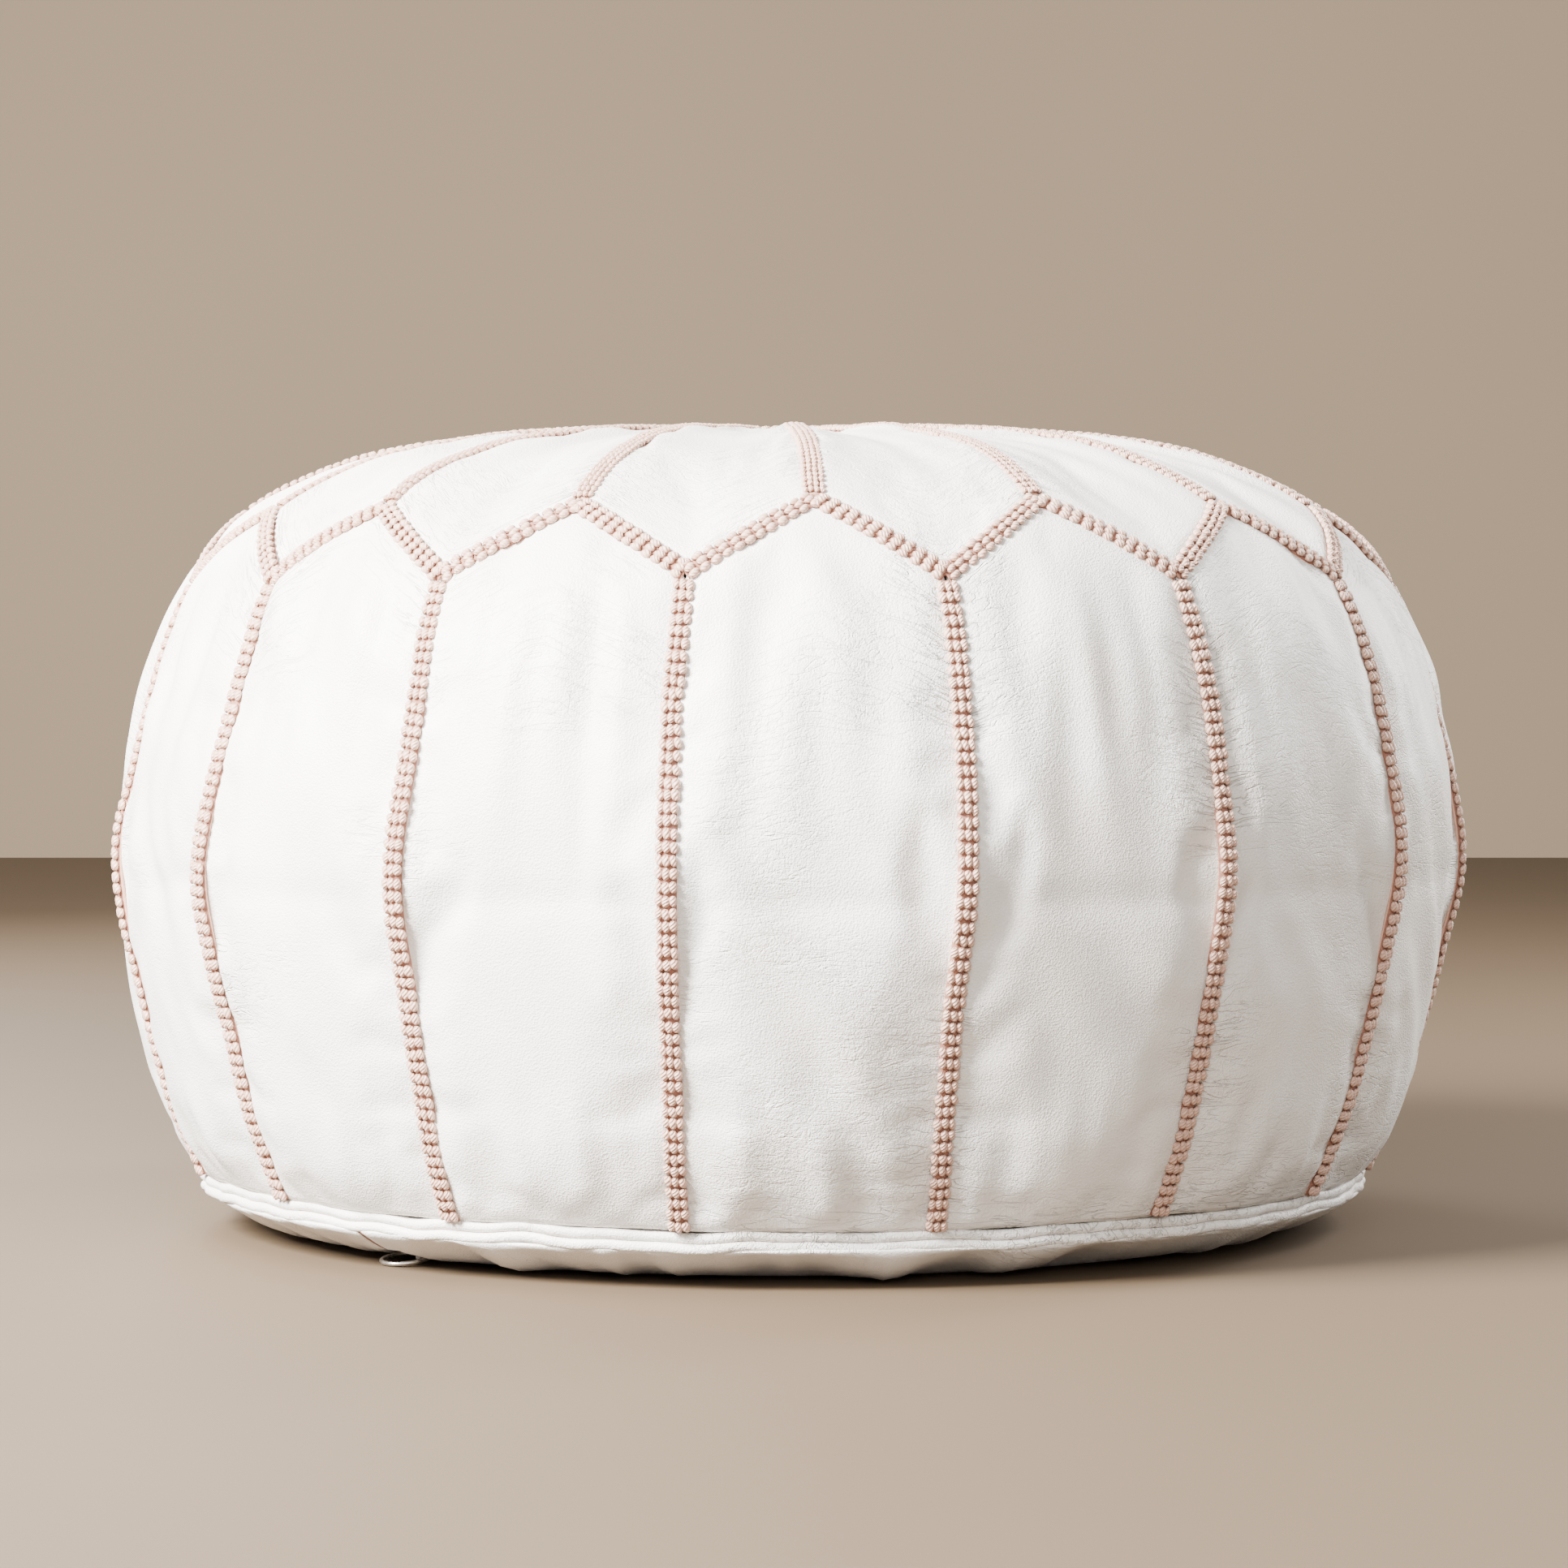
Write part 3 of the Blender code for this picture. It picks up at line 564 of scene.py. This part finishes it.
# ---------------------------------------------------------------- the embroidery
def stitch_meshes():
    """A few beads of thread, each a plump oval of two twisted strands, 2 units long, wide and high."""
    made = []
    for number in range(STITCH_KINDS):
        rng = random.Random(number)
        twist_rate, lean = rng.uniform(0.6, 1.0), rng.uniform(-0.12, 0.12)
        bm = bmesh.new()
        bmesh.ops.create_uvsphere(bm, u_segments=8, v_segments=6, radius=1.0)
        twist = bm.loops.layers.uv.new("twist")
        bite = bm.verts.layers.float.new("bite")
        for face in bm.faces:
            for loop in face.loops:
                x, y, z = loop.vert.co
                loop[twist].uv = (math.atan2(y, x) / math.pi + twist_rate * z, z)
        for vertex in bm.verts:
            x, y, z = vertex.co
            angle = math.atan2(y, x)
            full = max(0.0, 1 - abs(z) ** 2.6) ** 0.5 * (0.92 + 0.13 * math.cos(2 * (angle + 0.9 * z)))
            # Painted shade: marks the bead's ends and underside, where shade falls, so the colour is darker
            # there.
            vertex[bite] = min(1.0, 0.85 * abs(z) ** 5 + max(0.0, -math.sin(angle)) * 0.8 * full)
            vertex.co = (full * math.cos(angle) + lean * z, z, full * math.sin(angle))
        bmesh.ops.recalc_face_normals(bm, faces=bm.faces)
        mesh = bpy.data.meshes.new("stitch")
        bm.to_mesh(mesh)
        bm.free()
        made.append(mesh)
    return made


def seam_frame(route, t, out):
    """The point out metres off the leather at t on a seam, with the directions across, ahead and out."""
    azimuth, along = route(t)
    out += ridge(along)
    middle = on_form(azimuth, along, out)
    outward = (on_form(azimuth, along, out + 0.01) - middle).normalized()
    ahead = on_form(*route(t + 0.01), out) - on_form(*route(t - 0.01), out)
    ahead = (ahead - outward * ahead.dot(outward)).normalized()
    turned = Matrix((ahead.cross(outward), ahead, outward)).transposed().to_4x4()
    return Matrix.Translation(middle) @ turned


def lay_ground(bm, route, width):
    """A low ribbon of tight stitching along a seam, for the beads to lie on."""
    strip = bmesh.ops.create_grid(bm, x_segments=4, y_segments=GROUND_ROWS, size=1.0)["verts"]
    for vertex in strip:
        across, t = vertex.co.x, (vertex.co.y + 1) / 2
        low = Vector((across * width / 2, 0, GROUND_CROWN * (1 - across**2)))
        vertex.co = seam_frame(route, t, -GROUND_SUNK) @ low
    faces = list({face for vertex in strip for face in vertex.link_faces})
    bmesh.ops.recalc_face_normals(bm, faces=faces)
    for face in bmesh.ops.solidify(bm, geom=faces, thickness=GROUND_SUNK)["geom"] + faces:
        if isinstance(face, bmesh.types.BMFace):
            face.material_index = 1


def lay_braid(bm, route, rows_apart, columns, width, slant, rng):
    """Rows of beads along a seam, which route gives as (azimuth, along) for 0 to 1."""
    lay_ground(bm, route, width * 0.9)
    places = [on_form(*route(i / 100)) for i in range(101)]
    lengths = np.cumsum([0.0, *((b - a).length for a, b in zip(places, places[1:]))])
    rows = round(lengths[-1] / rows_apart)
    rows_apart, bead = lengths[-1] / rows, width / columns
    for row in range(rows):
        t = float(np.interp((row + 0.5) * rows_apart, lengths, np.linspace(0, 1, 101)))
        place = seam_frame(route, t, BRAID_OUT) @ Matrix.Rotation(rng.uniform(-0.06, 0.06), 4, "Z")
        spread = rng.uniform(0.94, 1.06)
        for column in range(columns):
            off = (column - (columns - 1) / 2) / columns * 2
            shift = Vector((off * width / 2 * spread, rng.uniform(-0.0004, 0.0004), -0.0006 * off * off))
            rolled = Matrix.Rotation(off * 0.5, 4, "Y")
            turn = rolled @ Matrix.Rotation(slant + rng.uniform(-0.1, 0.1), 4, "Z")
            half = (
                bead * rng.uniform(0.50, 0.64),
                rows_apart * rng.uniform(0.45, 0.51),
                BEAD_RISE * rng.uniform(0.9, 1.15),
            )
            stitch = rng.choice(STITCHES).copy()
            stitch.transform(place @ Matrix.Translation(shift) @ turn @ Matrix.Diagonal((*half, 1.0)))
            bm.from_mesh(stitch)
            bpy.data.meshes.remove(stitch)


def embroidery(name, node, braids, seed):
    """A piece of embroidery of one or more braids, in the place of a CAD node."""
    bm = bmesh.new()
    bm.loops.layers.uv.new("twist")
    bm.verts.layers.float.new("bite")
    rng = random.Random(seed)
    for route, rows_apart, columns, width, slant in braids:
        lay_braid(bm, route, rows_apart, columns, width, slant, rng)
    fit(new_object(name, bm, BLUSH_THREAD, GROUND_THREAD_IN_SHADE), "cover", "blush_thread", node)


def side_embroidery():
    """A braid of three columns up each side seam, from the welt to the notch."""
    for i in range(PANELS):
        def seam(t, azimuth=FIRST_SEAM + i * PITCH):
            return azimuth, 0.0005 + t * (NOTCH - 0.0035)

        braids = [(seam, SEAM_ROWS_APART, 3, BRAID_WIDTH, 0.10)]
        embroidery(f"side_embroidery_{i + 1:02d}", f"side_braid_{i + 1:02d}", braids, 10 + i)


def crown_embroidery():
    """The zigzag round the shoulder, the ribs over the top, and the ring round the medallion."""
    for i in range(PANELS):
        point = FIRST_SEAM + (i + 0.5) * PITCH

        def left(t, point=point):
            return point - (1 - t) * PITCH / 2, NOTCH + (POINT - NOTCH) * t

        def right(t, point=point):
            return point + t * PITCH / 2, POINT + (NOTCH - POINT) * t

        def rib(t, point=point):
            return point, POINT + 0.0035 + t * (MEDALLION - POINT - 0.0065)

        braids = [(side, SEAM_ROWS_APART, 3, BRAID_WIDTH, 0.25) for side in (left, right)]
        embroidery(f"point_embroidery_{i + 1:02d}", "crown_braid", braids, 40 + i)
        ribs = [(rib, RIB_ROWS_APART, 4, BRAID_WIDTH, 0.2)]
        embroidery(f"rib_embroidery_{i + 1:02d}", "crown_braid", ribs, 60 + i)

    def ring(t):
        return FIRST_SEAM + t * 2 * math.pi, MEDALLION

    embroidery("medallion_embroidery", "crown_braid", [(ring, RING_ROWS_APART, 3, BRAID_WIDTH, 0.2)], 80)


# ---------------------------------------------------------------- the rim and the base
def rim_welt():
    """The turned-out edges of the flank and the base: two soft folds with a groove between them."""
    middle, half = (WELT_TOP + WELT_LOW) / 2, (WELT_TOP - WELT_LOW) / 2
    inner = WELT_OUTER - WELT_DEPTH
    bm = bmesh.new()
    for fold in (1, -1):
        section = bmesh.ops.create_circle(bm, segments=14, radius=1.0)["verts"]
        for vertex in section:
            across, up = vertex.co.x, vertex.co.y
            plump = abs(across) ** 0.8 * math.copysign(1, across)
            vertex.co = (
                (inner + WELT_OUTER) / 2 - WELT_TUCK + plump * WELT_DEPTH / 2,
                0.0,
                middle + fold * half * 0.54 + up * half * 0.56,
            )
    turn = {"axis": (0, 0, 1), "cent": (0, 0, 0), "angle": 2 * math.pi, "steps": WELT_STEPS}
    bmesh.ops.spin(bm, geom=bm.verts[:] + bm.edges[:], use_merge=True, **turn)
    bmesh.ops.remove_doubles(bm, verts=bm.verts, dist=1e-6)
    bmesh.ops.recalc_face_normals(bm, faces=bm.faces)
    cut = bm.loops.layers.uv.new("cut")
    near_seam = bm.verts.layers.float.new("near_seam")
    for face in bm.faces:
        for loop in face.loops:
            loop[cut].uv = (loop.vert.co.z * 4, math.atan2(loop.vert.co.y, loop.vert.co.x) * WELT_OUTER)
    for vertex in bm.verts:
        azimuth = math.atan2(vertex.co.y, vertex.co.x)
        ring = Vector((math.cos(azimuth), math.sin(azimuth), 0))
        pleat = noise.noise(ring * 17 + Vector((0, 0, vertex.co.z * 60)))
        ruck = noise.noise(ring * 45 + Vector((3, 0, vertex.co.z * 120)))
        vertex[near_seam] = 0.7
        vertex.co += ring * (0.0013 * pleat + 0.0006 * ruck)
        vertex.co.z += 0.0006 + 0.0016 * noise.noise(ring * 11 + Vector((0, 5, 0)))
        vertex.co = settled(vertex.co)
    fit(new_object("rim_welt_leather", bm, WHITE_LEATHER), "cover", "white_leather", "rim_welt")


def underside(point):
    """How high the base's leather stands over the floor, at a point along and across the zip."""
    past_flat = max(0.0, math.hypot(point.x, point.y) - CONTACT_RADIUS) / (BASE_RADIUS - CONTACT_RADIUS)
    off_floor = (LIP_HALF_WIDTH - abs(point.y)) / (LIP_HALF_WIDTH - LIP_HALF_GAP)
    share = min(max(off_floor, 0.0), 1.0)
    azimuth = math.atan2(point.y, point.x)
    ring = Vector((math.cos(azimuth), math.sin(azimuth), 0))
    gather = noise.noise(ring * 9) + 0.6 * noise.noise(ring * 22)
    slack = past_flat * (1 - past_flat) * 4
    clear = 1 - bump(point.y, 0.0, 0.03)
    rise = BASE_RISE * past_flat**2 + 0.0045 * slack * (0.3 + gather) * clear
    return max(rise, LIP_HEIGHT * share * share * (3 - 2 * share), 0.0)


def cut_across(bm, normal, offset):
    bmesh.ops.bisect_plane(
        bm,
        geom=bm.verts[:] + bm.edges[:] + bm.faces[:],
        dist=1e-6,
        plane_co=Vector(normal) * offset,
        plane_no=normal,
    )


def base_halves():
    """The two half discs of the base. Their lips stand off the floor along the zip."""
    for name, side in (("front", 1), ("back", -1)):
        bm = bmesh.new()
        bmesh.ops.create_circle(bm, cap_ends=True, segments=BASE_SEGMENTS, radius=BASE_RADIUS)
        for ring in range(BASE_RINGS):
            inner = [face for face in bm.faces if face.calc_center_median().length < 0.001]
            thickness = 0.0034 if ring < 11 else 0.018
            edges = {"use_boundary": True, "use_even_offset": True}
            bmesh.ops.inset_region(bm, faces=inner, thickness=thickness, **edges)
        for offset in [SLIT_HALF_GAP, *np.linspace(LIP_HALF_GAP, LIP_HALF_WIDTH, 8)]:
            cut_across(bm, (0, side, 0), float(offset))
        for offset in (-ZIP_HALF_LENGTH, ZIP_HALF_LENGTH):
            cut_across(bm, (1, 0, 0), offset)
        spare = []
        for face in bm.faces:
            centre = face.calc_center_median()
            over_zip = centre.y * side < LIP_HALF_GAP and abs(centre.x) < ZIP_HALF_LENGTH
            if centre.y * side < SLIT_HALF_GAP or over_zip:
                spare.append(face)
        bmesh.ops.delete(bm, geom=spare, context="FACES")
        bmesh.ops.triangulate(bm, faces=[face for face in bm.faces if len(face.verts) > 4])
        cut = bm.loops.layers.uv.new("cut")
        near_seam = bm.verts.layers.float.new("near_seam")
        for face in bm.faces:
            for loop in face.loops:
                loop[cut].uv = loop.vert.co.xy
        for vertex in bm.verts:
            vertex[near_seam] = 0.6 * bump(BASE_RADIUS - vertex.co.xy.length, 0.0, 0.02)
            vertex.co.z = underside(vertex.co) + LEATHER
        bmesh.ops.transform(bm, matrix=ZIP_TURN, verts=bm.verts)
        bmesh.ops.recalc_face_normals(bm, faces=bm.faces)
        half = new_object(f"base_leather_{name}", bm, WHITE_LEATHER)
        hide = half.modifiers.new("hide", "SOLIDIFY")
        hide.thickness = LEATHER
        hide.offset = -1.0
        hide.use_even_offset = True
        fit(half, "cover", "white_leather", f"base_panel_{name}")


# ---------------------------------------------------------------- the zip
def zip_tapes():
    """A woven tape along each side of the zip. Past its ends they meet, and run up to the welt."""
    reach = BASE_RADIUS - 0.0010
    for name, side in (("front", 1), ("back", -1)):
        bm = bmesh.new()
        bmesh.ops.create_grid(bm, x_segments=TAPE_ROWS, y_segments=6, size=1.0)
        weave = bm.loops.layers.uv.new("weave")
        for face in bm.faces:
            for loop in face.loops:
                x, y = loop.vert.co.xy
                loop[weave].uv = (x * reach, y * TAPE_WIDTH / 2)
        for vertex in bm.verts:
            x, y = vertex.co.x * reach, vertex.co.y * side
            past = min(1.0, max(0.0, (abs(x) - ZIP_HALF_LENGTH) / 0.003))
            ripple = 0.0002 * math.sin(x * 900 + side) * (y + 1) / 2 * (1 - past)
            inner = TAPE_INNER * (1 - past) + 0.0001 * past
            across = side * (inner + (y + 1) / 2 * TAPE_WIDTH)
            lifted = underside(Vector((x, across, 0))) + LEATHER + 0.0009
            vertex.co = ZIP_TURN @ Vector((x, across, max(TAPE_HIGH + ripple, lifted)))
        tape = new_object(f"tape_{name}", bm, RUST_TAPE)
        cloth = tape.modifiers.new("cloth", "SOLIDIFY")
        cloth.thickness = TAPE_HIGH - TAPE_LOW
        cloth.offset = -1.0
        fit(tape, "cover", "rust_tape", f"zip_tape_{name}")


def zip_coils():
    """A helix of nylon wire along the inner edge of each tape."""
    turns = round(2 * COIL_HALF_LENGTH / COIL_PITCH)
    pitch = 2 * COIL_HALF_LENGTH / turns
    for name, side in (("front", 1), ("back", -1)):
        bm = bmesh.new()
        bmesh.ops.create_circle(bm, segments=6, radius=COIL_WIRE / 2)
        bmesh.ops.translate(bm, verts=bm.verts, vec=((COIL_HIGH - COIL_LOW - COIL_WIRE) / 2, 0, 0))
        turn = {"axis": (0, side, 0), "cent": (0, 0, 0), "angle": 2 * math.pi, "steps": COIL_STEPS}
        bmesh.ops.spin(bm, geom=bm.verts[:] + bm.edges[:], dvec=(0, pitch / COIL_STEPS, 0), **turn)
        one_turn = bpy.data.meshes.new("one_turn")
        bm.to_mesh(one_turn)
        bm.clear()
        one_turn.transform(Matrix.Rotation(-math.pi / 2, 4, "Z"))
        for number in range(turns):
            bm.from_mesh(one_turn)
            one_turn.transform(Matrix.Translation((pitch, 0, 0)))
        bpy.data.meshes.remove(one_turn)
        bmesh.ops.remove_doubles(bm, verts=bm.verts, dist=1e-5)
        bmesh.ops.holes_fill(bm, edges=[edge for edge in bm.edges if edge.is_boundary], sides=6)
        bmesh.ops.recalc_face_normals(bm, faces=bm.faces)
        start = Matrix.Translation((-COIL_HALF_LENGTH, side * COIL_OFFSET, COIL_MIDDLE))
        bmesh.ops.transform(bm, matrix=ZIP_TURN @ start, verts=bm.verts)
        fit(new_object(f"coil_{name}", bm, RUST_COIL), "cover", "rust_coil", f"zip_coil_{name}")


def slider():
    """The cast slider, its edges rounded by tumbling."""
    bm = bmesh.new()
    bm.from_mesh(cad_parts["zip_slider"].data)
    bmesh.ops.remove_doubles(bm, verts=bm.verts, dist=1e-6)
    bmesh.ops.dissolve_limit(bm, angle_limit=math.radians(2), verts=bm.verts, edges=bm.edges)
    sharp = [edge for edge in bm.edges if edge.calc_face_angle(0.0) > math.radians(40)]
    bmesh.ops.bevel(bm, geom=sharp, offset=0.00012, affect="EDGES", segments=2, profile=0.5, material=-1)
    bm.faces.ensure_lookup_table()
    cast = new_object("slider_body", bm, PLATED_METAL)
    cast.data.shade_flat()
    fit(cast, "slider", "plated_metal", "zip_slider")


def pull_ring():
    """The wire ring that the zip is pulled by."""
    low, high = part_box("zip_pull_ring")
    bm = bmesh.new()
    upright = Matrix.Rotation(math.pi / 2, 4, "X")
    bmesh.ops.create_circle(bm, segments=16, radius=RING_WIRE / 2, matrix=upright)
    turn = {"cent": (RING_RADIUS, 0, 0), "axis": (0, 0, 1), "angle": 2 * math.pi, "steps": 72}
    bmesh.ops.spin(bm, geom=bm.verts[:] + bm.edges[:], use_merge=True, **turn)
    bmesh.ops.remove_doubles(bm, verts=bm.verts, dist=1e-6)
    bmesh.ops.recalc_face_normals(bm, faces=bm.faces)
    place = Matrix.Translation((low + high) / 2) @ ZIP_TURN @ Matrix.Rotation(RING_TILT, 4, "Y")
    bmesh.ops.transform(bm, matrix=place @ Matrix.Translation((-RING_RADIUS, 0, 0)), verts=bm.verts)
    fit(new_object("pull_ring_wire", bm, PLATED_METAL), "pull_ring", "plated_metal", "zip_pull_ring")


def filling():
    """The cotton, packed hard against the leather, with a hollow over the zip."""
    bm = bmesh.new()
    outside = LINE[:: LINE_STEPS // 3]
    floor_line = [(share * CONTACT_RADIUS, FILLING_GAP) for share in (0.0, 0.08, 0.3, 0.5, 0.7, 0.85, 1.0)]
    line = [*floor_line, *((max(0.0, r - FILLING_GAP), z - FILLING_GAP * (z > 0.2)) for r, z in outside)]
    points = [bm.verts.new((r, 0.0, z)) for r, z in line]
    for first, second in zip(points, points[1:]):
        bm.edges.new((first, second))
    turn = {"axis": (0, 0, 1), "cent": (0, 0, 0), "angle": 2 * math.pi, "steps": 96}
    bmesh.ops.spin(bm, geom=bm.verts[:] + bm.edges[:], use_merge=True, **turn)
    bmesh.ops.remove_doubles(bm, verts=bm.verts, dist=1e-5)
    bmesh.ops.recalc_face_normals(bm, faces=bm.faces)
    for vertex in bm.verts:
        across = (ZIP_TURN.inverted() @ vertex.co).y
        hollow = bump(across, 0.0, 0.022) * bump(vertex.co.z, 0.0, 0.03)
        vertex.co = settled(vertex.co)
        vertex.co.z += 0.012 * hollow
    cotton = new_object("cotton_core", bm, COTTON_FILLING)
    fit(cotton, "cover", "cotton_filling", "stuffing")


# ---------------------------------------------------------------- the room, the camera and the lights
def studio():
    """A plain floor and, well behind the pouf, a plain wall."""
    floor = ("studio_floor", (0, 0, 0), 0.0, FLOOR_COLOUR)
    wall = ("studio_wall", (0, WALL_PLACE, 0), math.pi / 2, WALL_COLOUR)
    for name, place, tip, colour in (floor, wall):
        bm = bmesh.new()
        stood = Matrix.Translation(place) @ Matrix.Rotation(tip, 4, "X")
        bmesh.ops.create_grid(bm, x_segments=4, y_segments=4, size=6.0, matrix=stood)
        new_object(name, bm, studio_paint(name, colour))


def soft_light(name, place, towards, size, power):
    data = bpy.data.lights.new(name, "AREA")
    data.shape = "RECTANGLE"
    data.size, data.size_y = size
    data.energy = power
    data.color = (1.0, 0.985, 0.965)
    light = bpy.data.objects.new(name, data)
    light.location = place
    light.visible_camera = False
    light.rotation_euler = (Vector(towards) - Vector(place)).to_track_quat("-Z", "Y").to_euler()
    bpy.context.collection.objects.link(light)


def camera():
    data = bpy.data.cameras.new("camera")
    data.lens = CAMERA_LENS
    eye = bpy.data.objects.new("camera", data)
    eye.location = CAMERA_PLACE
    eye.rotation_euler = (math.radians(90 + CAMERA_TIP), 0, 0)
    bpy.context.collection.objects.link(eye)
    bpy.context.scene.camera = eye


# ---------------------------------------------------------------- the whole pouf
STITCHES = stitch_meshes()
cover = cloth_cover()
inflate(cover)
rumple(cover)
cut_panels(cover)
medallion()
side_embroidery()
crown_embroidery()
rim_welt()
base_halves()
zip_tapes()
zip_coils()
slider()
pull_ring()
filling()
for stitch in STITCHES:
    bpy.data.meshes.remove(stitch)

studio()
camera()
soft_light("key", (-1.35, -1.05, 1.30), (0, 0, 0.15), (0.9, 0.9), 470)
soft_light("side", (1.35, 0.85, 0.9), (0, 0, 0.2), (0.4, 1.1), 55)
soft_light("front", (0.2, -2.6, 1.2), (0, 0, 0.15), (1.6, 1.2), 45)
soft_light("back", (-0.8, 1.6, 0.9), (0, 0, 0.15), (0.8, 0.8), 35)
world = bpy.data.worlds.new("daylight")
world.use_nodes = True
world.node_tree.nodes["Background"].inputs["Color"].default_value = (1.0, 0.985, 0.965, 1.0)
world.node_tree.nodes["Background"].inputs["Strength"].default_value = 0.7
bpy.context.scene.world = world
